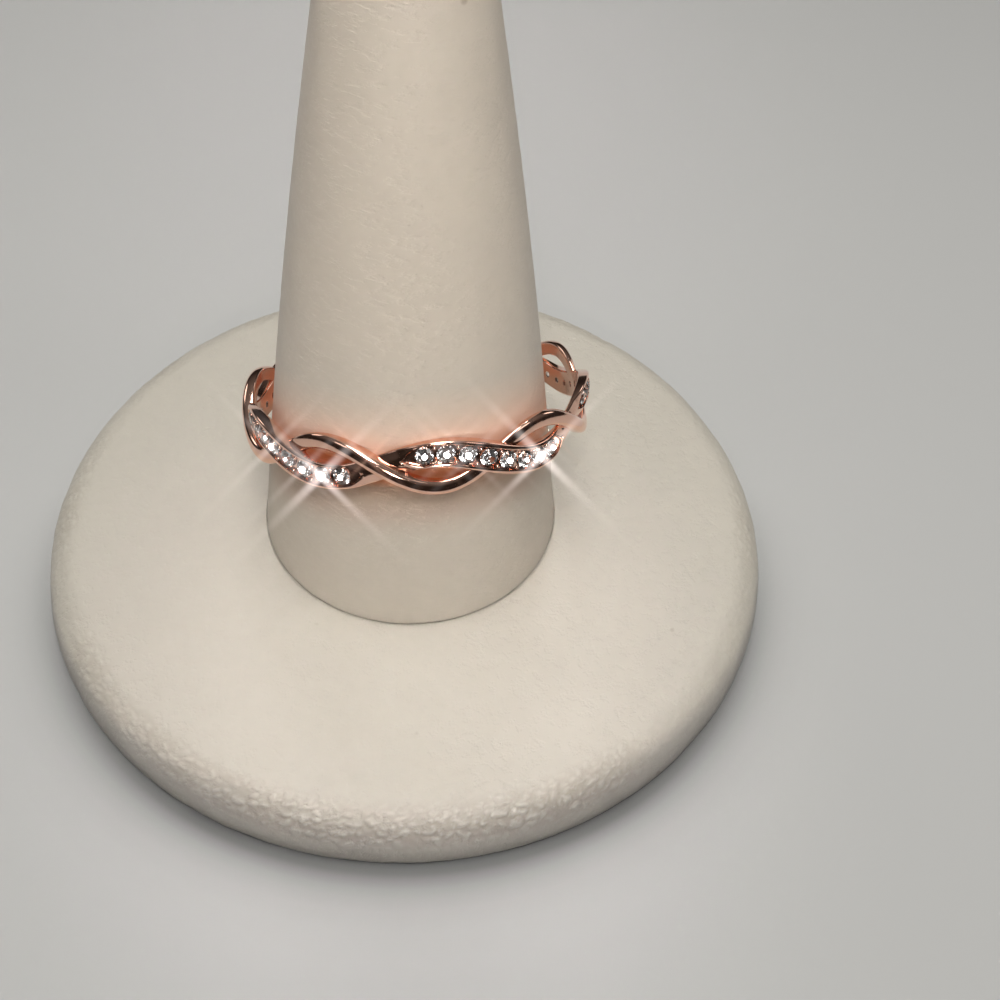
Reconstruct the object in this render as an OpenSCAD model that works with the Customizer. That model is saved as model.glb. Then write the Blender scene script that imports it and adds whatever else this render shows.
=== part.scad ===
// Twist ring on a cone stand. The band is two strands that twist round each other:
// one is plain and polished, the other carries runs of small round stones between
// thin rails. It hangs loose and tilted on a covered cone, which stands on a round base.
// Millimetres, +Z up, -Y to the front. The origin is the middle of the base's underside.

/* [Band] */
// Inner diameter of the band
band_inner_d = 19; // [18.9:0.05:19.2]
// Outer radius of a strand where it crosses over the other one
crown_r = 10.3; // [10.2:0.05:10.5]
// How much lower a strand's outer face lies where it passes under
dive = 0.4; // [0.3:0.05:0.45]
// Number of full twists round the band
twists = 5; // [4:1:5]
// Angle from the front to the first place where the stone strand crosses over
twist_phase = 25.8; // [0:0.1:72]

/* [Plain strand] */
// Half the width of the plain strand
plain_half_w = 0.43; // [0.42:0.01:0.47]
// How far the plain strand swings up and down from the band's middle
plain_swing = 1.2; // [1.16:0.01:1.22]

/* [Stone strand] */
// Half the width of the stone strand at the middle of its swing
set_half_w = 0.75; // [0.74:0.01:0.8]
// How much wider the stone strand is where it crosses over
set_swell = 0.06; // [0:0.02:0.12]
// How far the stone strand swings up and down from the band's middle
set_swing = 0.72; // [0.68:0.01:0.76]
// Depth of the channel between the rails
channel_depth = 0.2; // [0.1:0.02:0.24]
// Share of a full twist over which the channel is open, tip to tip
channel_share = 0.87; // [0.82:0.01:0.9]

/* [Stones] */
// Diameter of a stone at its girdle
stone_d = 1; // [0.9:0.02:1.02]
// Stones in one run
run_stones = 8; // [6:1:8]
// Angle round the band between two stones
stone_step = 6.5; // [6.4:0.1:6.6]
// Facets round a stone
stone_sides = 8; // [8:1:12]
// Clearance between a stone and the metal
stone_gap = 0.04; // [0.03:0.01:0.05]

/* [Pose on the cone] */
// Angle by which the front of the band hangs higher than its back
band_tilt = 23.3; // [22.9:0.1:23.5]
// Angle by which the right of the band hangs higher than its left
band_roll = 3.4; // [2.9:0.1:3.6]
// Place of the band's centre from left to right
band_x = 0.42; // [0.36:0.02:0.46]
// Place of the band's centre from front to back
band_y = 0.8; // [0.78:0.01:0.82]
// Height of the band's centre
band_z = 11.78; // [11.74:0.02:11.9]

/* [Stand] */
// Diameter of the round base
base_d = 46.1; // [44.1:0.5:48.6]
// Thickness of the round base
base_t = 2.75; // [2.65:0.05:2.8]
// Radius of the base's upper edge
base_top_round = 2.2; // [1:0.1:2.2]
// Radius of the base's lower edge
base_foot_round = 0.3; // [0.1:0.05:0.35]
// Radius of the cone where it meets the base
cone_foot_r = 9.27; // [9.07:0.05:9.27]
// Height of the cone above the base
cone_h = 47.25; // [46.75:0.25:48]
// Slope of the cone's side at its foot
cone_taper = 0.121; // [0.121:0.001:0.125]
// How fast the slope grows with height
cone_curve = 0.00097; // [0.00097:0.00001:0.00102]
// Height of the rounded tip
tip_h = 2.2; // [1.5:0.1:3]

/* [Hidden] */
leatherette_colour = "#e9dfcc";
rose_gold_colour = "#d98f78";
crystal_colour = "#e8eef2";

inner_r = band_inner_d / 2;
stations_per_twist = 18;
stations = stations_per_twist * twists;
stone_count = twists * run_stones;

// Section points of a strand: how deep from the inside (0) to the outside (1),
// and how far across from its middle (0) to its edge (1).
plain_side = [[0, 0.7], [0.12, 0.94], [0.5, 1], [0.84, 0.98], [0.97, 0.76]];
set_side = [[0, 0.55], [0.14, 0.87], [0.5, 1], [0.84, 0.97], [1, 0.88]];
// Share of the channel's half length where it starts to narrow to its tip
narrowing_from = 0.8;
// How open the channel is where it reaches its full depth
full_depth_from = 0.5;
// Half width that the closed channel keeps, so that its points stay apart
closed_slot = 0.2;
// How much wider the channel is at its mouth than at its floor, as a share of the strand
slot_flare = 0.05;
// How much further out the plain strand's inside lies than the stone strand's
plain_inset = 0.05;
// How far the plain strand's sections are shifted along, as a share of one step
plain_stagger = 0.25;

// Proportions of a round stone, as shares of its diameter
table_share = 0.58;
crown_share = 0.15;
girdle_share = 0.03;
pavilion_share = 0.42;
// How far a stone's table stands out of the strand
table_proud = 0.02;
// Radius of the open hole behind a stone, and how far its cut reaches past the inside
azure_r = 0.2;
azure_past = 0.15;
// How far a stone's seat is cut above the channel's floor
seat_above = 0.05;

fillet_steps = 8;
cone_steps = 16;
tip_steps = 8;
round_fn = 96;

function stone_name(i) = str("stone_", i < 9 ? "0" : "", i + 1);

// The stone strand's turn at an angle round the band: 0 where it is outermost.
function turn_at(angle) = -twists * (angle - twist_phase);
function wrapped(a) = a - 360 * floor((a + 180) / 360);
function outer_r(turn) = crown_r - dive * (1 - cos(turn)) / 2;
function set_w(turn) = set_half_w + set_swell * cos(turn);

// A strand that climbs is cut by an upright plane, so its section there is taller.
function lean(turn, swing) = sqrt(1 + pow(swing * twists * cos(turn) / outer_r(turn), 2));

// A point of a strand, from its place round the band and in the strand's section.
function strand_point(angle, turn, swing, half_w, inside_r, p) =
    let (r = inside_r + (outer_r(turn) - inside_r) * p[0])
    [
        r * sin(angle),
        -r * cos(angle),
        swing * sin(turn) + half_w * lean(turn, swing) * p[1]
    ];

function mirrored(side) = [for (i = [len(side) - 1 : -1 : 0]) [side[i][0], -side[i][1]]];

function plain_section() = concat(plain_side, [[1, 0]], mirrored(plain_side));

// How open the channel is: 1 along the stones, falling to 0 at its pointed tips.
function channel_open(turn) =
    let (s = abs(wrapped(turn)) / (180 * channel_share))
    s >= 1 ? 0 : s <= narrowing_from ? 1 : cos(90 * (s - narrowing_from) / (1 - narrowing_from));

function set_section(turn) =
    let (
        open = channel_open(turn),
        slot = max(closed_slot, (stone_d / 2 + stone_gap) * open) / set_w(turn),
        depth = channel_depth * min(1, open / full_depth_from),
        floor_at = 1 - depth / (outer_r(turn) - inner_r),
        half = concat(set_side, [[1, slot + slot_flare], [floor_at, slot]])
    )
    concat(half, mirrored(half));

function plain_points() = [
    for (k = [0 : stations - 1])
        let (angle = (k + plain_stagger) * 360 / stations, turn = turn_at(angle) + 180)
        for (p = plain_section())
            strand_point(angle, turn, plain_swing, plain_half_w, inner_r + plain_inset, p)
];

function set_points() = [
    for (k = [0 : stations - 1])
        let (angle = k * 360 / stations, turn = turn_at(angle))
        for (p = set_section(turn)) strand_point(angle, turn, set_swing, set_w(turn), inner_r, p)
];

// Triangles of a closed loop of sections with n points each.
function loop_faces(n) = [
    for (k = [0 : stations - 1], j = [0 : n - 1])
        let (
            here = k * n,
            next = ((k + 1) % stations) * n,
            above = (j + 1) % n
        )
        each [[here + j, next + above, here + above], [here + j, next + j, next + above]]
];

module strand(points, section_points) {
    polyhedron(points = points, faces = loop_faces(section_points), convexity = 12);
}

// Puts what is modelled round +Z into the band's tilted place on the cone.
module in_band_place() {
    translate([band_x, band_y, band_z])
        rotate([0, -band_roll, 0])
            rotate([-band_tilt, 0, 0])
                children();
}

// Stones stand on the band with +Z outwards and their table at z = 0.
function stone_angle(i) =
    twist_phase + floor(i / run_stones) * 360 / twists
    + (i % run_stones - (run_stones - 1) / 2) * stone_step;

module at_stone(i) {
    angle = stone_angle(i);
    turn = turn_at(angle);
    rotate([0, 0, angle])
        translate([0, -outer_r(turn) - table_proud, set_swing * sin(turn)])
            rotate([90, 0, 0])
                rotate([0, 0, 180 / stone_sides])
                    children();
}

stone_h = stone_d * (crown_share + girdle_share + pavilion_share);
girdle_z = -stone_d * (crown_share + girdle_share);

// The seat under one stone, open through the inside of the band.
module seat_cut(i) {
    reach = outer_r(turn_at(stone_angle(i))) + table_proud - inner_r + azure_past;
    at_stone(i)
        hull() {
            translate([0, 0, girdle_z])
                cylinder(r = stone_d / 2 + stone_gap, h = seat_above, $fn = stone_sides);
            translate([0, 0, -reach])
                cylinder(r = azure_r, h = azure_past, $fn = stone_sides);
        }
}

// Both strands are one casting, with the channel's seats cut into it.
module twist_band() {
    color(rose_gold_colour)
        in_band_place()
            difference() {
                union() {
                    strand(plain_points(), len(plain_section()));
                    strand(set_points(), len(set_section(0)));
                }
                for (i = [0 : stone_count - 1]) seat_cut(i);
            }
}

// A round stone: flat table, crown, thin girdle and pointed pavilion.
module stone(i) {
    girdle_r = stone_d / 2;
    levels = [
        [0, table_share * girdle_r],
        [-crown_share * stone_d, girdle_r],
        [girdle_z, girdle_r]
    ];
    rims = [
        for (level = levels, j = [0 : stone_sides - 1])
            let (a = 360 * j / stone_sides)
            [level[1] * cos(a), level[1] * sin(a), level[0]]
    ];
    culet = len(rims);
    last = (len(levels) - 1) * stone_sides;
    faces = concat(
        [[for (j = [stone_sides - 1 : -1 : 0]) j]],
        [
            for (k = [0 : len(levels) - 2], j = [0 : stone_sides - 1])
                let (a = k * stone_sides, b = a + stone_sides, n = (j + 1) % stone_sides)
                [a + j, a + n, b + n, b + j]
        ],
        [for (j = [0 : stone_sides - 1]) [last + j, last + (j + 1) % stone_sides, culet]]
    );
    color(crystal_colour)
        in_band_place()
            at_stone(i)
                polyhedron(points = concat(rims, [[0, 0, -stone_h]]), faces = faces);
}

// A quarter round of the given radius about a centre, from one angle to another.
function arc(centre, r, from, to, steps) = [
    for (k = [0 : steps])
        let (a = from + (to - from) * k / steps)
        [centre[0] + r * cos(a), centre[1] + r * sin(a)]
];

module stand_base() {
    base_r = base_d / 2;
    outline = concat(
        [[0, 0]],
        arc([base_r - base_foot_round, base_foot_round], base_foot_round, -90, 0, fillet_steps / 2),
        arc([base_r - base_top_round, base_t - base_top_round], base_top_round, 0, 90, fillet_steps),
        [[0, base_t]]
    );
    color(leatherette_colour)
        rotate_extrude($fn = round_fn)
            polygon(outline);
}

function cone_r(h) = cone_foot_r - cone_taper * h - cone_curve * h * h;

module stand_cone() {
    side_h = cone_h - tip_h;
    outline = concat(
        [[0, 0]],
        [for (k = [0 : cone_steps]) let (h = side_h * k / cone_steps) [cone_r(h), h]],
        [
            for (k = [1 : tip_steps - 1])
                let (a = 90 * k / tip_steps)
                [cone_r(side_h) * cos(a), side_h + tip_h * sin(a)]
        ],
        [[0, cone_h]]
    );
    color(leatherette_colour)
        translate([0, 0, base_t])
            rotate_extrude($fn = round_fn)
                polygon(outline);
}

stand_base();
stand_cone();
twist_band();
for (i = [0 : stone_count - 1])
    stone(i);
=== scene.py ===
"""Looks of the twist ring on its cone stand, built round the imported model.

Everything is modelled in millimetres and scaled to metres as it becomes a mesh. The band is
modelled round +Z with the front at -Y, and then put into its tilted place on the cone.
"""
import math

import bpy
import numpy as np
from mathutils import Matrix, Vector, noise


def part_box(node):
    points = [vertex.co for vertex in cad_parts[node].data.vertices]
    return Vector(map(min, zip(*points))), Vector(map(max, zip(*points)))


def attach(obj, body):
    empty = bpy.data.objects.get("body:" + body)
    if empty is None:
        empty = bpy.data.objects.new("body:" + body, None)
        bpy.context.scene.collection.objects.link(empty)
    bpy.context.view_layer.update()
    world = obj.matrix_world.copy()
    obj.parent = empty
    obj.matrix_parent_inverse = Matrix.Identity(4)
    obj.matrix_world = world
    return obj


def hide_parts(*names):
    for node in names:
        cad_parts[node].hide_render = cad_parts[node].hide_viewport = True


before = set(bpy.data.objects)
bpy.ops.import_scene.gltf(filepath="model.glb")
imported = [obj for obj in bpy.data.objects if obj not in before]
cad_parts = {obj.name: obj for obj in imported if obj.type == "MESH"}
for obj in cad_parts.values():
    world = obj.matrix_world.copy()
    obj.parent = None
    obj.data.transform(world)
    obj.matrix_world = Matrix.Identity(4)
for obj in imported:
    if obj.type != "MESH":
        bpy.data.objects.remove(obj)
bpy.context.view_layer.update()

MM = 0.001

# Sizes that the imported model gives, in millimetres
BASE_LOW, BASE_HIGH = (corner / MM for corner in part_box("stand_base"))
CONE_LOW, CONE_HIGH = (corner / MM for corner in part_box("stand_cone"))
BASE_R = (BASE_HIGH.x - BASE_LOW.x) / 2
BASE_T = BASE_HIGH.z
CONE_FOOT_R = (CONE_HIGH.x - CONE_LOW.x) / 2
CONE_H = CONE_HIGH.z - CONE_LOW.z

# Band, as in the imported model
INNER_R = 9.5
CROWN_R = 10.3
DIVE = 0.4
TWISTS = 5
TWIST_PHASE = 25.8
PLAIN_HALF_W = 0.43
PLAIN_SWING = 1.2
SET_HALF_W = 0.75
SET_SWELL = 0.06
SET_SWING = 0.72
BAND_TILT = math.radians(23.3)
BAND_ROLL = math.radians(3.4)
BAND_PLACE = (0.42, 0.8, 11.78)

# Channel of the stone strand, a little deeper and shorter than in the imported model, and how far
# the strand's edges drop where the channel is closed
CHANNEL_DEPTH = 0.26
CHANNEL_SHARE = 0.83
NARROWING_FROM = 0.78
CLOSED_DROP = 0.16

# Stones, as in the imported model
STONE_D = 1.0
RUN_STONES = 8
STONE_STEP = 6.5
STONE_GAP = 0.04
STONE_COUNT = RUN_STONES * TWISTS
TABLE_SHARE = 0.58
CROWN_SHARE = 0.15
GIRDLE_SHARE = 0.03
PAVILION_SHARE = 0.42
TABLE_PROUD = 0.02
AZURE_R = 0.2
AZURE_PAST = 0.15

# Steps of the fine meshes
BAND_STEPS = 720
STONE_SIDES = 8
CONE_STEPS = 320
CONE_ROWS = 290
BASE_STEPS = 1200

# Stand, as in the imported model
BASE_TOP_ROUND = 2.2
BASE_FOOT_ROUND = 0.3
CONE_TAPER = 0.121
CONE_CURVE = 0.00097
TIP_H = 2.2

# Cover of the stand: a pebble's size along and across the rim, the depth of the creases between
# pebbles, the crease where the cone stands and the rounding of the cone's foot in it
PEBBLE_ALONG = 0.66
PEBBLE_ACROSS = 0.40
PEBBLE_RELIEF = 0.10
FOOT_CREASE_W = 0.06
FOOT_CREASE_D = 0.12
CONE_FOOT_ROUND = 0.1

# Colours
WHITE = (1.0, 1.0, 1.0)
BLACK = (0.0, 0.0, 0.0)
GOLD_COLOUR = (0.93, 0.58, 0.45)
STONE_COLOUR = (0.98, 0.98, 0.99)
DISC_COLOUR = (0.56, 0.522, 0.45)
CONE_COLOUR = (0.67, 0.60, 0.508)
SPECK_COLOUR = (0.74, 0.70, 0.66)
# Painted shade in the creases between the rim's pebbles
CREASE_SHADE_COLOUR = (0.84, 0.81, 0.78)
FLOOR_COLOUR = (0.51, 0.51, 0.497)

# Painted shade on the disc's cover, darker low on the rim: brightness by height as a share of the
# disc's
RIM_PAINTED_SHADES = [(0.2, 0.66), (0.6, 0.65), (0.76, 0.72), (0.89, 0.88), (0.95, 0.97), (1.0, 1.0)]

# Tint of the cone by its height over the ring's plane, in millimetres: pink where the gold throws
# its glow, brown in the ring's own shade
GLOW_REACH = 5.5
GLOW_TINTS = [
    (-GLOW_REACH, WHITE),
    (-4.5, (0.97, 0.94, 0.93)),
    (-3.95, (0.95, 0.88, 0.86)),
    (-3.5, (0.91, 0.81, 0.78)),
    (-2.7, (0.87, 0.76, 0.69)),
    (-1.7, (0.86, 0.64, 0.52)),
    (-1.2, (1.20, 0.50, 0.24)),
    (0.0, (1.30, 0.56, 0.28)),
    (0.45, (1.26, 0.88, 0.74)),
    (1.5, (1.34, 1.13, 1.06)),
    (2.6, (1.18, 1.07, 1.02)),
    (4.4, WHITE),
    (GLOW_REACH, WHITE),
]

# Shade on the floor in front of the disc, by the distance from the disc in millimetres
SHADE_REACH = 5.2
FLOOR_SHADES = [
    (0.0, 0.23), (0.5, 0.33), (0.9, 0.50), (1.35, 0.67),
    (1.9, 0.80), (2.6, 0.90), (3.7, 0.97), (SHADE_REACH, 1.0),
]

# Near floor (left, front, right, back), how far the far floor goes, and its glow by the distance
# from the middle, all in metres
NEAR_FLOOR = (-0.10, -0.046, 0.10, 0.12)
FAR_FLOOR = 1.5
FAR_GLOW = [
    (0.1, BLACK),
    (0.15, (0.08, 0.08, 0.08)),
    (0.2, (0.165, 0.165, 0.165)),
    (0.3, (0.28, 0.28, 0.28)),
    (0.45, (0.36, 0.36, 0.36)),
    (0.8, (0.405, 0.405, 0.395)),
]

# Lights: name, place, target, width, power, colour and spread, in metres, watts and degrees
MIDDLE = (0, 0, 0.01)
LAMP_COLOUR = (1.0, 0.99, 0.97)
WARM_LAMP_COLOUR = (1.0, 0.95, 0.90)
LAMPS = [
    ("key", (0.0, -0.086, 0.245), MIDDLE, 0.08, 0.275, LAMP_COLOUR, 180),
    ("top", (0.0, 0.0, 0.26), MIDDLE, 0.10, 0.150, LAMP_COLOUR, 180),
    ("rear", (0.0, 0.125, 0.227), MIDDLE, 0.05, 0.105, LAMP_COLOUR, 180),
    ("front", (0.0, -0.26, 0.15), (0, 0, 0.036), 0.05, 0.0033, WARM_LAMP_COLOUR, 13),
    ("pool", (0.0, -0.115, 0.21), (0, -0.013, 0.003), 0.03, 0.0010, LAMP_COLOUR, 8),
    ("edge_left", (-0.16, 0.16, 0.115), MIDDLE, 0.08, 0.030, LAMP_COLOUR, 180),
    ("fill_left", (-0.14, -0.08, 0.20), MIDDLE, 0.08, 0.022, LAMP_COLOUR, 180),
    ("edge_right", (0.16, 0.16, 0.115), MIDDLE, 0.08, 0.030, LAMP_COLOUR, 180),
    ("fill_right", (0.14, -0.08, 0.20), MIDDLE, 0.08, 0.030, LAMP_COLOUR, 180),
]

# Glint lights: how strongly each flashing stone flashes, by the stone's number, how far off its
# light is in millimetres, and the light's width in metres and power in watts at strength 1
FLASHING = {
    36: 0.85, 37: 0.5, 38: 0.85, 39: 1.1, 40: 0.7,
    1: 0.7, 2: 0.8, 3: 0.85, 5: 0.75, 6: 0.6, 7: 1.1, 8: 0.7,
}
GLINT_REACH = 8
GLINT_WIDTH = 0.0005
GLINT_POWER = 0.00009

# Room: its light from low down and from above, where the low part ends, and what the camera sees
ROOM_LOW = (0.020, 0.017, 0.015, 1)
ROOM_HIGH = (0.16, 0.155, 0.15, 1)
ROOM_LOW_TO = 0.20
ROOM_SEEN = (0.42, 0.42, 0.41, 1)

# Camera: its distance is in base radii and its focus in picture widths
CAMERA_DISTANCE = 3.357
CAMERA_ELEVATION = math.radians(51.38)
CAMERA_PITCH = math.radians(49.63)
CAMERA_YAW = math.radians(6.79)
CAMERA_CLOCKWISE = math.radians(4.61)
CAMERA_FOCUS = 1.15
SENSOR = 36

# Rays of the brightest glints
GLARE = {
    "Threshold": 6.0,
    "Maximum": 16.0,
    "Strength": 0.36,
    "Streaks": 4,
    "Streaks Angle": math.radians(45),
    "Iterations": 3,
    "Fade": 0.92,
    "Color Modulation": 0.1,
    "Tint": (1.0, 0.88, 0.84, 1),
}

BAND_MATRIX = (
    Matrix.Translation(BAND_PLACE)
    @ Matrix.Rotation(-BAND_ROLL, 4, "Y")
    @ Matrix.Rotation(-BAND_TILT, 4, "X")
)


def piece(name, points, faces, material, slot, sharp_deg):
    """A mesh piece that rides on the one body, from points in millimetres."""
    mesh = bpy.data.meshes.new(name)
    mesh.from_pydata([tuple(p) for p in np.asarray(points) * MM], [], [tuple(f) for f in faces])
    mesh.validate()
    mesh.update()
    mesh.materials.append(material)
    obj = bpy.data.objects.new(name, mesh)
    bpy.context.scene.collection.objects.link(obj)
    shade(obj, sharp_deg)
    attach(obj, "root")
    return obj


def shade(obj, sharp_deg):
    """Smooth shading with sharp edges where faces meet at more than an angle."""
    mesh = obj.data
    mesh.polygons.foreach_set("use_smooth", [sharp_deg > 0] * len(mesh.polygons))
    if sharp_deg > 0:
        mesh.set_sharp_from_angle(angle=math.radians(sharp_deg))


def placed(points, matrix):
    """Points moved by a matrix."""
    m = np.array(matrix)
    return np.asarray(points) @ m[:3, :3].T + m[:3, 3]


def grid_faces(rows, columns, close_rows=False):
    """Quads between rows of points that each go round."""
    faces = []
    for i in range(rows if close_rows else rows - 1):
        for j in range(columns):
            a, b = i * columns, (i + 1) % rows * columns
            k = (j + 1) % columns
            faces.append((a + j, a + k, b + k, b + j))
    return faces


# Band geometry

def turn_at(angle):
    """The stone strand's turn at an angle round the band: 0 where it is outermost."""
    return -TWISTS * (angle - TWIST_PHASE)


def wrapped(a):
    """An angle between -180 and 180 degrees."""
    return (a + 180) % 360 - 180


def outer_r(turn):
    """Outer radius of the band where a strand has a turn."""
    return CROWN_R - DIVE * (1 - math.cos(math.radians(turn))) / 2


def centre_line(angle, turn, swing):
    """A point in the middle of a strand's inside, and the directions out and across there."""
    a, t = math.radians(angle), math.radians(turn)
    point = Vector((INNER_R * math.sin(a), -INNER_R * math.cos(a), swing * math.sin(t)))
    middle_r = (INNER_R + outer_r(turn)) / 2
    slope = -TWISTS * swing * math.cos(t) / middle_r
    out = Vector((math.sin(a), -math.cos(a), 0))
    along = Vector((math.cos(a), math.sin(a), slope)).normalized()
    across = out.cross(along).normalized()
    if across.z < 0:
        across = -across
    return point, out, across


def corner(centre, radius, start, end, steps):
    """Points on an arc, as (across, out) pairs."""
    return [
        (centre[0] + radius * math.cos(a), centre[1] + radius * math.sin(a))
        for a in (math.radians(start + (end - start) * k / steps) for k in range(steps + 1))
    ]


def mirrored(half):
    """The other half of a section."""
    return [(-x, y) for x, y in reversed(half) if abs(x) > 1e-9]


def plain_section(depth):
    """The polished strand: flat inside with eased corners and a domed outside."""
    inner_round, dome_steps, dome_power, spring_share = 0.16, 12, 2.6, 0.42
    half = [(0, 0)]
    half += corner((PLAIN_HALF_W - inner_round, inner_round), inner_round, -90, 0, 4)
    spring = spring_share * depth
    rise = depth - spring
    for k in range(dome_steps + 1):
        a = math.radians(90 * k / dome_steps)
        x = PLAIN_HALF_W * math.cos(a) ** (2 / dome_power)
        y = spring + rise * math.sin(a) ** (2 / dome_power)
        half.append((x, y))
    return half


def channel_open(turn):
    """How open the channel is: 1 along the stones, falling to 0 at its pointed tips."""
    s = abs(wrapped(turn)) / (180 * CHANNEL_SHARE)
    if s >= 1:
        return 0.0
    if s <= NARROWING_FROM:
        return 1.0
    return math.cos(math.pi / 2 * (s - NARROWING_FROM) / (1 - NARROWING_FROM))


def set_section(depth, turn):
    """The stone strand: rails with rounded tops on each side of the channel."""
    inner_round, rail_round, edge = 0.12, 0.13, 0.035
    least_slot, full_depth_from, eased = 0.03, 0.3, 0.02
    shoulder_share, domed_share, domed_rise = 0.55, 0.3, 0.01
    half_w = SET_HALF_W + SET_SWELL * math.cos(math.radians(turn))
    opened = channel_open(turn)
    slot = max(least_slot, (STONE_D / 2 + STONE_GAP) * opened)
    floor = CHANNEL_DEPTH * min(1.0, opened / full_depth_from)
    drop = CLOSED_DROP * (1 - opened)
    half = [(0, 0)]
    half += corner((half_w - inner_round, inner_round), inner_round, -90, 0, 3)
    half.append((half_w, depth * shoulder_share - drop / 2))
    half += corner((half_w - rail_round, depth - drop - rail_round), rail_round, 0, 90, 6)
    rim = slot + edge
    half.append(((half_w - rail_round + rim) / 2, depth - drop * domed_share + domed_rise))
    half += [(rim, depth), (slot + edge * 0.3, depth - min(edge * 0.7, floor))]
    half.append((slot, depth - max(floor - eased, 0)))
    half.append((max(slot - least_slot, least_slot / 2), depth - floor))
    half.append((0, depth - floor))
    return half


def strand_mesh(section_at, swing, turn_offset):
    """Points and faces of one strand swept round the band."""
    points = []
    count = 0
    for k in range(BAND_STEPS):
        angle = 360 * k / BAND_STEPS
        turn = turn_at(angle) + turn_offset
        origin, out, across = centre_line(angle, turn, swing)
        half = section_at(outer_r(turn) - INNER_R, turn)
        section = half + mirrored(half)
        count = len(section)
        points += [origin + across * x + out * y for x, y in section]
    return np.array(points), grid_faces(BAND_STEPS, count, True)


def stone_angle(i):
    """Where a stone sits round the band, in degrees."""
    run, place = divmod(i, RUN_STONES)
    return TWIST_PHASE + run * 360 / TWISTS + (place - (RUN_STONES - 1) / 2) * STONE_STEP


def on_strand(angle, across=0.0, out=0.0):
    """Matrix of a thing on the stone strand: +Z out of the band, +Y across the strand."""
    turn = turn_at(angle)
    point, normal, side = centre_line(angle, turn, SET_SWING)
    place = point + normal * (outer_r(turn) - INNER_R + out) + side * across
    x = side.cross(normal)
    m = Matrix((x, side, normal)).transposed().to_4x4()
    m.translation = place
    return m


def seat_mesh(i):
    """The cut under one stone: a cone for the pavilion, open through the inside."""
    sides, wall_h, wall_ease = 16, 0.06, 0.005
    girdle = -STONE_D * (CROWN_SHARE + GIRDLE_SHARE)
    through = outer_r(turn_at(stone_angle(i))) + TABLE_PROUD - INNER_R + AZURE_PAST
    seat_r = STONE_D / 2 + STONE_GAP - wall_ease
    levels = [
        (girdle + wall_h, seat_r),
        (girdle, seat_r),
        (AZURE_PAST - through, AZURE_R),
        (-through, AZURE_R),
    ]
    matrix = on_strand(stone_angle(i), out=TABLE_PROUD)
    rings = [
        (r * math.cos(2 * math.pi * j / sides), r * math.sin(2 * math.pi * j / sides), z)
        for z, r in levels
        for j in range(sides)
    ]
    faces = [tuple(reversed(f)) for f in grid_faces(len(levels), sides)]
    faces.append(tuple(range(sides)))
    faces.append(tuple(reversed(range((len(levels) - 1) * sides, len(levels) * sides))))
    return placed(rings, matrix), faces


def joined(parts):
    """One list of points and faces from several."""
    points, faces, base = [], [], 0
    for part_points, part_faces in parts:
        points.append(np.asarray(part_points))
        faces += [tuple(base + v for v in f) for f in part_faces]
        base += len(part_points)
    return np.vstack(points), faces


def plain_object(name, points, faces):
    """An object outside the piece list, used up by a boolean."""
    mesh = bpy.data.meshes.new(name)
    mesh.from_pydata([tuple(p) for p in np.asarray(points)], [], faces)
    mesh.update()
    obj = bpy.data.objects.new(name, mesh)
    bpy.context.scene.collection.objects.link(obj)
    return obj


def combined(target, tool, operation):
    """Give the target its mesh after a boolean with the tool, which is deleted."""
    modifier = target.modifiers.new(operation.lower(), "BOOLEAN")
    modifier.operation = operation
    modifier.solver = "MANIFOLD"
    modifier.object = tool
    depsgraph = bpy.context.evaluated_depsgraph_get()
    mesh = bpy.data.meshes.new_from_object(target.evaluated_get(depsgraph))
    target.modifiers.clear()
    target.data = mesh
    bpy.data.objects.remove(tool)


def bead_mesh(matrix, radius):
    """A small round bead, as points and faces."""
    rings, sides = 6, 10
    points = [(0, 0, -radius)]
    for i in range(1, rings):
        a = math.pi * i / rings
        for j in range(sides):
            b = 2 * math.pi * j / sides
            points.append((
                radius * math.sin(a) * math.cos(b),
                radius * math.sin(a) * math.sin(b),
                -radius * math.cos(a),
            ))
    points.append((0, 0, radius))
    last = len(points) - 1
    faces = [(0, 1 + (j + 1) % sides, 1 + j) for j in range(sides)]
    for i in range(rings - 2):
        for j in range(sides):
            a, b, k = 1 + i * sides, 1 + (i + 1) * sides, (j + 1) % sides
            faces.append((a + j, a + k, b + k, b + j))
    start = last - sides
    faces += [(start + j, start + (j + 1) % sides, last) for j in range(sides)]
    return placed(points, matrix), faces


def make_band(material):
    """Both strands as one casting, with a seat cut under each stone."""
    plain = strand_mesh(lambda depth, turn: plain_section(depth), PLAIN_SWING, 180)
    stoned = strand_mesh(set_section, SET_SWING, 0)
    seats = joined([seat_mesh(i) for i in range(STONE_COUNT)])
    body = plain_object("band_body", *plain)
    combined(body, plain_object("band_other", *stoned), "UNION")
    combined(body, plain_object("seats", *seats), "DIFFERENCE")
    mesh = body.data
    co = np.empty(len(mesh.vertices) * 3)
    mesh.vertices.foreach_get("co", co)
    points = placed(co.reshape(-1, 3), BAND_MATRIX)
    faces = [tuple(p.vertices) for p in mesh.polygons]
    bpy.data.objects.remove(body)
    band = piece("twist_band_fine", points, faces, material, "rose_gold", 32)
    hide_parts("twist_band")


def make_beads(material):
    """The beads that hold the stones, two in each gap between neighbours."""
    bead_r, beside, level = 0.11, 0.41, -0.07
    parts = []
    for run in range(TWISTS):
        first = TWIST_PHASE + run * 360 / TWISTS - RUN_STONES / 2 * STONE_STEP
        for k in range(1, RUN_STONES):
            for side in (-beside, beside):
                matrix = BAND_MATRIX @ on_strand(first + k * STONE_STEP, side, level)
                parts.append(bead_mesh(matrix, bead_r))
    piece("setting_beads", *joined(parts), material, "rose_gold", 60)


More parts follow.
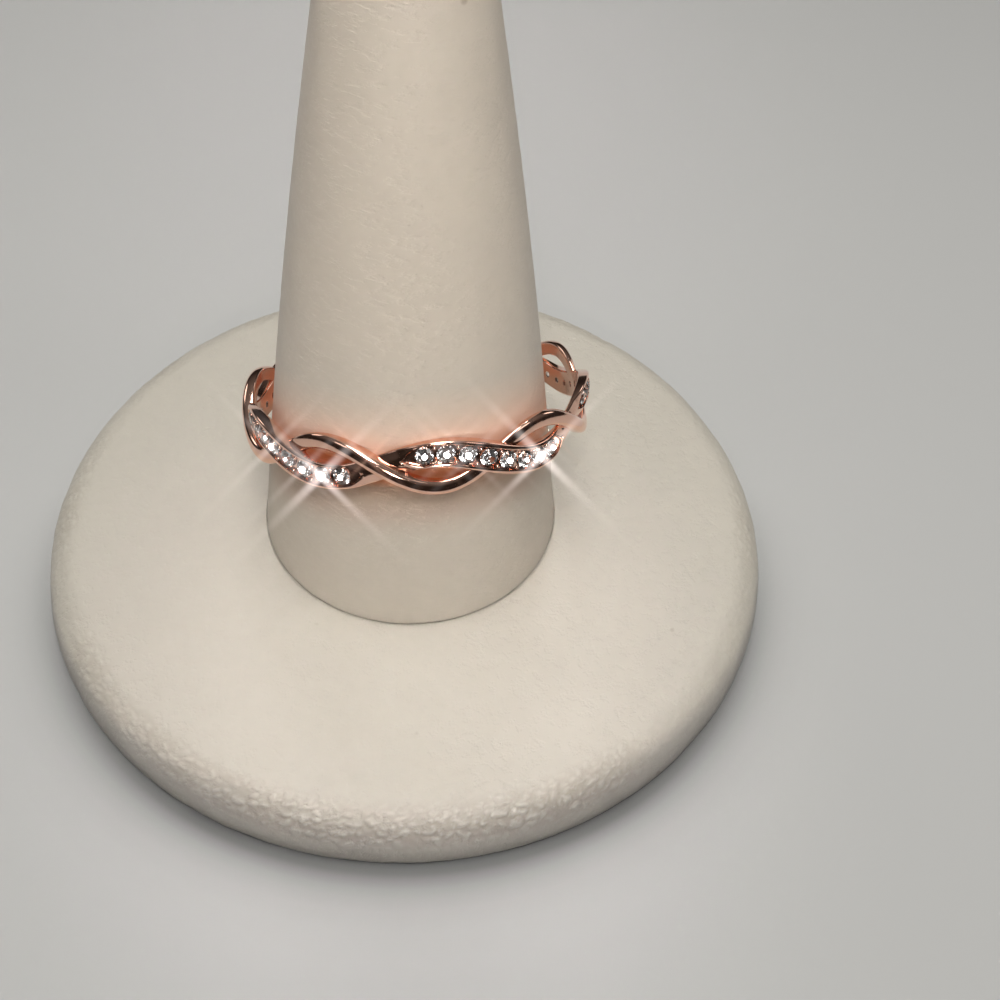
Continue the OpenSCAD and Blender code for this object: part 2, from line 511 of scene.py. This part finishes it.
def brilliant():
    """Points and faces of a round brilliant with its table at z = 0."""
    star_share, low_share = 0.98, 0.24
    r = STONE_D / 2
    table_r = TABLE_SHARE * r
    crown = CROWN_SHARE * STONE_D
    girdle = GIRDLE_SHARE * STONE_D
    pavilion = PAVILION_SHARE * STONE_D
    n = STONE_SIDES
    half = math.cos(math.pi / n)
    star_x = (table_r + r) / 2 * star_share
    star_z = -crown * (star_x - table_r) / (r - table_r)
    low_x = low_share * r
    low_z = -crown - girdle - pavilion * (1 - low_x / r)

    def ring(radius, z, count, shift):
        return [
            (radius * math.cos(2 * math.pi * (k + shift) / count),
             radius * math.sin(2 * math.pi * (k + shift) / count), z)
            for k in range(count)
        ]

    points = ring(table_r, 0, n, 0)
    points += ring(star_x / half, star_z, n, 0.5)
    points += ring(r, -crown, 2 * n, 0)
    points += ring(r, -crown - girdle, 2 * n, 0)
    points += ring(low_x / half, low_z, n, 0.5)
    points.append((0, 0, -crown - girdle - pavilion))
    table, star, top, bottom, low = 0, n, 2 * n, 4 * n, 6 * n
    culet = 7 * n
    faces = [tuple(range(n))]
    for k in range(n):
        nxt, prv = (k + 1) % n, (k - 1) % n
        faces.append((table + k, star + k, table + nxt))
        faces.append((table + k, star + prv, top + 2 * k, star + k))
        faces.append((star + k, top + 2 * k, top + 2 * k + 1))
        faces.append((star + k, top + 2 * k + 1, top + 2 * nxt))
        faces.append((low + k, bottom + 2 * k + 1, bottom + 2 * k))
        faces.append((low + k, bottom + 2 * nxt, bottom + 2 * k + 1))
        faces.append((culet, low + k, bottom + 2 * k, low + prv))
    for k in range(2 * n):
        nxt = (k + 1) % (2 * n)
        faces.append((top + k, bottom + k, bottom + nxt, top + nxt))
    return points, faces


def make_stones(material):
    """All the stones, and the collection that lists them for the glint lights."""
    points, faces = brilliant()
    stones = bpy.data.collections.new("stones")
    for i in range(STONE_COUNT):
        number = f"{i + 1:02d}"
        matrix = BAND_MATRIX @ on_strand(stone_angle(i), out=TABLE_PROUD)
        shape = placed(points, matrix)
        stone = piece(f"brilliant_{number}", shape, faces, material, "crystal", 0)
        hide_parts(f"stone_{number}")
        stones.objects.link(stone)
    return stones


# Stand

def revolved(profile, steps, moved):
    """Points and faces of a closed body of revolution, from (radius, height) pairs.

    Each point goes where moved(angle, radius, height) puts it.
    """
    points = [(0, 0, profile[0][1])]
    for radius, height in profile[1:-1]:
        for k in range(steps):
            a = 2 * math.pi * k / steps
            r, z = moved(a, radius, height)
            points.append((r * math.cos(a), r * math.sin(a), z))
    points.append((0, 0, profile[-1][1]))
    rows = len(profile) - 2
    faces = [tuple(1 + v for v in f) for f in grid_faces(rows, steps)]
    last = len(points) - 1
    faces += [(0, 1 + (k + 1) % steps, 1 + k) for k in range(steps)]
    start = last - steps
    faces += [(start + k, start + (k + 1) % steps, last) for k in range(steps)]
    return points, faces


def smooth(low, high, value):
    """A soft step from 0 at one value to 1 at another."""
    t = min(1.0, max(0.0, (value - low) / (high - low)))
    return t * t * (3 - 2 * t)


def pebbles(along, across):
    """Height of the leatherette's grain, 0 in a crease and 1 on a pebble."""
    bend, bend_scale, crease_w = 0.6, 1.1, 0.45
    elsewhere = Vector((7, 3, 5))
    where = Vector((along, across, 0))
    place = where * bend_scale
    bent = Vector((noise.noise(place), noise.noise(place + elsewhere), 0))
    distances, _ = noise.voronoi(where + bent * bend)
    return smooth(0.0, crease_w, distances[1] - distances[0])


def base_profile():
    """The disc's outline from the middle of its underside to the middle of its top."""
    rim = BASE_R - BASE_TOP_ROUND
    inner = CONE_FOOT_R + FOOT_CREASE_W * 2
    edge_step, edge_rows, top_rows, crease_rows = 0.1, 12, 12, 8
    foot = (BASE_R - BASE_FOOT_ROUND, BASE_FOOT_ROUND)
    profile = [(0, 0)]
    profile += corner(foot, BASE_FOOT_ROUND, -90, 0, 5)
    profile += corner((rim, BASE_T - BASE_TOP_ROUND), BASE_TOP_ROUND, 0, 90, 34)
    edge = [rim - edge_step * k for k in range(1, edge_rows + 1)]
    flat = [edge[-1] + (inner - edge[-1]) * k / top_rows for k in range(1, top_rows)]
    profile += [(r, BASE_T) for r in edge + flat]
    for k in range(crease_rows + 1):
        sunk = FOOT_CREASE_D * (1 - math.cos(math.pi * k / crease_rows)) / 2
        profile.append((inner - FOOT_CREASE_W * 2 * k / crease_rows, BASE_T - sunk))
    profile += [(CONE_FOOT_R * 0.7, BASE_T - FOOT_CREASE_D), (0, BASE_T - FOOT_CREASE_D)]
    return profile


def past_rim(r, z):
    """How far a point is over the disc's edge, along the cover, negative on the flat top."""
    rim = BASE_R - BASE_TOP_ROUND
    side_top = BASE_T - BASE_TOP_ROUND
    if r < rim:
        return r - rim
    if z < side_top:
        return BASE_TOP_ROUND * math.pi / 2 + side_top - z
    return BASE_TOP_ROUND * math.atan2(r - rim, z - side_top)


def rim_dip(a, across, where):
    """How deep the cover is creased at a point, as a share, most of all at the front."""
    near_rim = smooth(-0.6, 1.0, across) * (1 - 0.85 * smooth(1.7, 2.9, across))
    ahead = smooth(0.75, 0.97, -math.sin(a))
    patches = smooth(-0.1, 0.4, noise.noise(where * 0.16))
    patchy = 0.25 + 0.75 * ahead + 0.35 * (1 - ahead) * patches
    pebble = pebbles(BASE_R * a / PEBBLE_ALONG, across / PEBBLE_ACROSS)
    return (1 - pebble) * near_rim * patchy


def make_base(material):
    """The covered disc: smooth on top, wrinkled round its rim, creased where the cone stands."""
    wave_scale, wave_relief = 0.45, 0.07
    dips = []

    def moved(a, r, z):
        if z <= 0:
            dips.append(0.0)
            return r, z
        where = Vector((r * math.cos(a), r * math.sin(a), z))
        across = past_rim(r, z)
        dip = rim_dip(a, across, where)
        dips.append(dip)
        wave = min(0.0, noise.noise(where * wave_scale)) * wave_relief * smooth(-2, 1, across)
        out = wave - dip * PEBBLE_RELIEF
        tilt = min(math.pi / 2, max(0.0, across) / BASE_TOP_ROUND)
        return r + out * math.sin(tilt), z + out * math.cos(tilt)

    shape = revolved(base_profile(), BASE_STEPS, moved)
    base = piece("stand_base_cover", *shape, material, "leatherette", 60)
    # The creases' depth, which the disc's material reads for its painted crease shade
    dip_values = base.data.attributes.new("dip", "FLOAT", "POINT").data
    dip_values.foreach_set("value", [0.0, *dips, 0.0])
    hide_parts("stand_base")


def cone_r(h):
    """The cone's radius at a height over its foot."""
    return CONE_FOOT_R - CONE_TAPER * h - CONE_CURVE * h * h


def make_cone(material):
    """The covered cone, from its foot in the crease up to its small rounded tip."""
    broad_relief, small_relief, small_scale = 0.02, 0.018, 2.1
    tip_rows = 12
    side_h = CONE_H - TIP_H
    foot = (CONE_FOOT_R - CONE_FOOT_ROUND, BASE_T + CONE_FOOT_ROUND)
    profile = [(0, BASE_T)]
    profile += corner(foot, CONE_FOOT_ROUND, -90, 0, 3)
    for k in range(1, CONE_ROWS + 1):
        h = CONE_FOOT_ROUND + (side_h - CONE_FOOT_ROUND) * k / CONE_ROWS
        profile.append((cone_r(h), BASE_T + h))
    for k in range(1, tip_rows):
        a = math.pi / 2 * k / tip_rows
        profile.append((cone_r(side_h) * math.cos(a), BASE_T + side_h + TIP_H * math.sin(a)))
    profile.append((0, BASE_T + CONE_H))

    def moved(a, r, z):
        where = Vector((r * math.cos(a) * 0.5, r * math.sin(a) * 0.5, z * 1.4))
        broad = min(0.0, noise.noise(where)) * broad_relief
        small = min(0.0, noise.noise(where * small_scale) + 0.05) * small_relief
        return r + (broad + small) * smooth(0, 1, z - BASE_T), z

    shape = revolved(profile, CONE_STEPS, moved)
    cone = piece("stand_cone_cover", *shape, material, "leatherette", 60)
    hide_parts("stand_cone")


# Materials

def grey(value):
    """A colour without a tint."""
    return (value, value, value)


class Nodes:
    """Short calls for building a material's node tree."""

    def __init__(self, name):
        self.material = bpy.data.materials.new(name)
        self.material.use_nodes = True
        self.tree = self.material.node_tree
        self.shader = self.tree.nodes["Principled BSDF"]

    def add(self, kind, **values):
        node = self.tree.nodes.new(kind)
        for key, value in values.items():
            setattr(node, key, value)
        return node

    def link(self, source, target):
        self.tree.links.new(source, target)

    def set(self, **values):
        for key, value in values.items():
            self.shader.inputs[key.replace("_", " ")].default_value = value

    def math(self, operation, a, b):
        node = self.add("ShaderNodeMath", operation=operation)
        for socket, value in zip(node.inputs, (a, b)):
            if isinstance(value, (int, float)):
                socket.default_value = value
            else:
                self.link(value, socket)
        return node.outputs[0]

    def scaled(self, value, factor, offset):
        return self.math("ADD", self.math("MULTIPLY", value, factor), offset)

    def noise(self, vector, scale, detail, roughness=0.5):
        node = self.add("ShaderNodeTexNoise")
        node.inputs["Scale"].default_value = scale
        node.inputs["Detail"].default_value = detail
        node.inputs["Roughness"].default_value = roughness
        self.link(vector, node.inputs["Vector"])
        return node.outputs["Fac"]

    def ramp(self, value, stops):
        node = self.add("ShaderNodeValToRGB")
        elements = node.color_ramp.elements
        while len(elements) < len(stops):
            elements.new(0.5)
        for element, (position, colour) in zip(elements, stops):
            element.position = position
            element.color = (*colour, 1)
        self.link(value, node.inputs["Fac"])
        return node.outputs["Color"]

    def multiplied(self, a, b, share=None):
        node = self.add("ShaderNodeMix", data_type="RGBA", blend_type="MULTIPLY")
        node.inputs["Factor"].default_value = 1.0
        if share is not None:
            self.link(share, node.inputs["Factor"])
        self.link(a, node.inputs[6])
        self.link(b, node.inputs[7])
        return node.outputs[2]

    def stretched(self, scale):
        coords = self.add("ShaderNodeTexCoord")
        mapping = self.add("ShaderNodeMapping")
        mapping.inputs["Scale"].default_value = scale
        self.link(coords.outputs["Object"], mapping.inputs["Vector"])
        return mapping.outputs["Vector"]

    def split(self, vector):
        node = self.add("ShaderNodeSeparateXYZ")
        self.link(vector, node.inputs[0])
        return node.outputs

    def length(self, vector):
        node = self.add("ShaderNodeVectorMath", operation="LENGTH")
        self.link(vector, node.inputs[0])
        return node.outputs["Value"]

    def base_colour(self, source):
        self.link(source, self.shader.inputs["Base Color"])

    def roughness(self, value, stops):
        self.link(self.ramp(value, stops), self.shader.inputs["Roughness"])

    def bump(self, height, distance):
        node = self.add("ShaderNodeBump")
        node.inputs["Distance"].default_value = distance
        self.link(height, node.inputs["Height"])
        self.link(node.outputs["Normal"], self.shader.inputs["Normal"])


def rose_gold():
    """Polished rose gold with faint rubbing marks."""
    mark_scale, mark_depth = 2600, 0.000002
    n = Nodes("rose_gold_polished")
    n.set(Metallic=1.0, Base_Color=(*GOLD_COLOUR, 1))
    marks = n.noise(n.stretched((1, 1, 3)), mark_scale, 4, 0.6)
    n.roughness(marks, [(0.35, grey(0.08)), (0.75, grey(0.17))])
    n.bump(marks, mark_depth)
    return n.material


def crystal():
    """Clear cut stone."""
    n = Nodes("clear_stone")
    n.set(Roughness=0.0, IOR=2.1, Transmission_Weight=1.0, Base_Color=(*STONE_COLOUR, 1))
    return n.material


def leatherette(name, colour, roughness, stretch, grain, depth):
    """Cream leatherette with a fine grain, faint clouding and a few specks.

    Gives the node helper, the place and the tint, so that a piece can add marks of its own.
    """
    cloud_scale, mottle_scale, speck_scale = 75, 1300, 520
    clouded, mottled = 0.965, 0.975
    n = Nodes(name)
    where = n.stretched((1, 1, 1))
    clouds = n.noise(where, cloud_scale, 3)
    mottle = n.noise(where, mottle_scale, 2)
    specks = n.noise(where, speck_scale, 1)
    tint = n.ramp(clouds, [(0.3, tuple(c * clouded for c in colour)), (0.7, colour)])
    tint = n.multiplied(tint, n.ramp(mottle, [(0.3, grey(mottled)), (0.7, WHITE)]))
    tint = n.multiplied(tint, n.ramp(specks, [(0.195, SPECK_COLOUR), (0.22, WHITE)]))
    fine = n.noise(n.stretched(stretch), 1 / grain, 4, 0.6)
    n.roughness(fine, [(0.3, grey(roughness - 0.05)), (0.7, grey(roughness + 0.05))])
    n.bump(n.ramp(fine, [(0.36, BLACK), (0.5, WHITE)]), depth)
    return n, where, tint


def disc_cover():
    """The disc's leatherette, with painted shade low round the rim, most at the front, and in
    creases.
    """
    grain, depth = 0.0005, 0.00002
    front_share, less_shade_by = 0.85, 0.5
    n, where, tint = leatherette("leatherette_flat", DISC_COLOUR, 0.42, (1, 1, 1), grain, depth)
    place = n.split(where)
    # Painted shade: the cover darkens low on the rim, and less so away from the front
    level = n.math("MULTIPLY", place["Z"], 1 / (BASE_T * MM))
    front = front_share * BASE_R * MM
    less_shade_behind = n.math("MULTIPLY", n.math("ADD", place["Y"], front), less_shade_by / front)
    level = n.math("ADD", level, n.math("MAXIMUM", less_shade_behind, 0.0))
    shades = [(at, (shade, shade, shade * (1.12 - 0.12 * shade))) for at, shade in RIM_PAINTED_SHADES]
    # Painted shade in the pebbles' creases, darker where they are deeper
    dips = n.add("ShaderNodeAttribute", attribute_name="dip")
    crease_shade = n.ramp(dips.outputs["Fac"], [(0.1, WHITE), (0.9, CREASE_SHADE_COLOUR)])
    tint = n.multiplied(tint, crease_shade)
    n.base_colour(n.multiplied(tint, n.ramp(level, shades)))
    return n.material


def cone_cover():
    """The cone's leatherette, warmed near the ring by the light that the gold throws on it."""
    grain, depth = 0.0009, 0.000016
    n, where, tint = leatherette("leatherette_wrapped", CONE_COLOUR, 0.5, (1, 1, 3), grain, depth)
    axis = BAND_MATRIX.to_3x3() @ Vector((0, 0, 1))
    height = n.add("ShaderNodeVectorMath", operation="DOT_PRODUCT")
    n.link(where, height.inputs[0])
    height.inputs[1].default_value = axis / (2 * GLOW_REACH * MM)
    centre = axis.dot(Vector(BAND_PLACE)) / (2 * GLOW_REACH)
    level = n.math("ADD", height.outputs["Value"], 0.5 - centre)
    glow = n.ramp(level, [(0.5 + h / (2 * GLOW_REACH), tint_there) for h, tint_there in GLOW_TINTS])
    behind = n.scaled(n.split(where)["Y"], 50, 0.5)
    share = n.ramp(behind, [(0.2, WHITE), (0.7, grey(0.4))])
    n.base_colour(n.multiplied(tint, glow, share))
    return n.material


def floor_material(name):
    """The plain pale floor."""
    n = Nodes(name)
    n.set(Roughness=0.7, Base_Color=(*FLOOR_COLOUR, 1))
    return n


def near_floor_material():
    """The floor under the stand, with the soft shade that lies in front of the disc."""
    n = floor_material("floor_pale")
    where = n.stretched((1, 1, 1))
    away = n.scaled(n.length(where), 1 / (SHADE_REACH * MM), -BASE_R / SHADE_REACH)
    shades = [
        (d / SHADE_REACH, tuple(c * share for c in FLOOR_COLOUR))
        for d, share in FLOOR_SHADES
    ]
    behind = n.scaled(n.split(where)["Y"], 25, 0.5)
    clear = n.ramp(behind, [(0.0, BLACK), (0.6, WHITE)])
    mix = n.add("ShaderNodeMix", data_type="RGBA")
    n.link(clear, mix.inputs["Factor"])
    n.link(n.ramp(away, shades), mix.inputs[6])
    mix.inputs[7].default_value = (*FLOOR_COLOUR, 1)
    n.base_colour(mix.outputs[2])
    return n.material


def far_floor_material():
    """The floor further off, which glows as much as the stand's lights fall off there."""
    n = floor_material("floor_pale_far")
    n.set(Emission_Strength=1.0)
    glow = n.ramp(n.length(n.stretched((1, 1, 1))), FAR_GLOW)
    n.link(glow, n.shader.inputs["Emission Color"])
    return n.material


# Stage, light and camera

def floor_part(name, rectangles, material):
    """Part of the floor, from (left, front, right, back) rectangles in metres."""
    points, faces = [], []
    for left, front, right, back in rectangles:
        start = len(points)
        points += [(left, front, 0), (right, front, 0), (right, back, 0), (left, back, 0)]
        faces.append(tuple(range(start, start + 4)))
    mesh = bpy.data.meshes.new(name)
    mesh.from_pydata(points, [], faces)
    mesh.materials.append(material)
    part = bpy.data.objects.new(name, mesh)
    bpy.context.scene.collection.objects.link(part)
    return part


def make_floor():
    """A pale floor, whose far part throws no light or mirror image on the rest."""
    left, front, right, back = NEAR_FLOOR
    far = FAR_FLOOR
    around = [
        (-far, -far, far, front),
        (-far, back, far, far),
        (-far, front, left, back),
        (right, front, far, back),
    ]
    floor_part("floor", [NEAR_FLOOR], near_floor_material())
    outer = floor_part("floor_around", around, far_floor_material())
    outer.visible_glossy = False
    outer.visible_diffuse = False


def area_light(name, place, target, size, power, colour, spread):
    """A round soft light, out of the camera's sight."""
    data = bpy.data.lights.new(name, "AREA")
    data.shape = "DISK"
    data.size = size
    data.energy = power
    data.color = colour
    data.spread = math.radians(spread)
    light = bpy.data.objects.new(name, data)
    light.location = place
    aim = Vector(target) - Vector(place)
    light.rotation_euler = aim.to_track_quat("-Z", "Y").to_euler()
    light.visible_camera = False
    bpy.context.scene.collection.objects.link(light)
    return light


def glint_light(number, strength, stones):
    """A tiny light that one stone's table mirrors to the photograph's view, on the stones alone."""
    matrix = BAND_MATRIX @ on_strand(stone_angle(number - 1), out=TABLE_PROUD)
    table, normal = matrix.translation, matrix.to_3x3() @ Vector((0, 0, 1))
    view = (camera_place() / MM - table).normalized()
    towards = 2 * normal.dot(view) * normal - view
    place = (table + towards * GLINT_REACH) * MM
    width, power = GLINT_WIDTH * strength, GLINT_POWER * strength**5
    light = area_light("glint", place, table * MM, width, power, WHITE, 180)
    light.visible_diffuse = False
    light.light_linking.receiver_collection = stones


def make_lights(stones):
    """Soft lights above the stand, weak ones round it and the glints' own."""
    for lamp in LAMPS:
        area_light(*lamp)
    for number, strength in FLASHING.items():
        glint_light(number, strength, stones)


def make_room():
    """A dark room, which the camera alone sees as a pale one."""
    world = bpy.data.worlds.new("room")
    bpy.context.scene.world = world
    world.use_nodes = True
    tree = world.node_tree
    coords = tree.nodes.new("ShaderNodeTexCoord")
    split = tree.nodes.new("ShaderNodeSeparateXYZ")
    ramp = tree.nodes.new("ShaderNodeValToRGB")
    low, high = ramp.color_ramp.elements
    low.position, low.color = ROOM_LOW_TO, ROOM_LOW
    high.position, high.color = 1.0, ROOM_HIGH
    tree.links.new(coords.outputs["Generated"], split.inputs[0])
    tree.links.new(split.outputs["Z"], ramp.inputs["Fac"])
    seen = tree.nodes.new("ShaderNodeMix")
    seen.data_type = "RGBA"
    seen.inputs[7].default_value = ROOM_SEEN
    path = tree.nodes.new("ShaderNodeLightPath")
    tree.links.new(path.outputs["Is Camera Ray"], seen.inputs["Factor"])
    tree.links.new(ramp.outputs["Color"], seen.inputs[6])
    tree.links.new(seen.outputs[2], tree.nodes["Background"].inputs["Color"])


def camera_place():
    """Where the camera is, in metres."""
    away = Vector((0, -math.cos(CAMERA_ELEVATION), math.sin(CAMERA_ELEVATION)))
    return away * CAMERA_DISTANCE * BASE_R * MM


def make_camera():
    """The photograph's view."""
    forward = Vector((
        math.sin(CAMERA_YAW) * math.cos(CAMERA_PITCH),
        math.cos(CAMERA_YAW) * math.cos(CAMERA_PITCH),
        -math.sin(CAMERA_PITCH),
    ))
    level = Vector((math.cos(CAMERA_YAW), -math.sin(CAMERA_YAW), 0))
    upright = level.cross(forward)
    c, s = math.cos(CAMERA_CLOCKWISE), math.sin(CAMERA_CLOCKWISE)
    right = c * level + s * upright
    up = c * upright - s * level
    data = bpy.data.cameras.new("camera")
    data.sensor_width = SENSOR
    data.lens = SENSOR * CAMERA_FOCUS
    data.clip_start = 0.001
    camera = bpy.data.objects.new("camera", data)
    matrix = Matrix((right, up, -forward)).transposed().to_4x4()
    matrix.translation = camera_place()
    camera.matrix_world = matrix
    bpy.context.scene.collection.objects.link(camera)
    bpy.context.scene.camera = camera


def make_glare():
    """Short four-pointed rays on the brightest glints, as a lens gives them."""
    scene = bpy.context.scene
    scene.use_nodes = True
    tree = scene.node_tree
    glare = tree.nodes.new("CompositorNodeGlare")
    glare.glare_type = "STREAKS"
    for name, value in GLARE.items():
        glare.inputs[name].default_value = value
    tree.links.new(tree.nodes["Render Layers"].outputs["Image"], glare.inputs["Image"])
    tree.links.new(glare.outputs["Image"], tree.nodes["Composite"].inputs["Image"])


def main():
    """Build the ring, the stand and the stage."""
    gold = rose_gold()
    make_band(gold)
    make_beads(gold)
    stones = make_stones(crystal())
    make_base(disc_cover())
    make_cone(cone_cover())
    make_floor()
    make_lights(stones)
    make_room()
    make_camera()
    make_glare()
    bpy.context.scene.view_settings.view_transform = "Standard"


main()
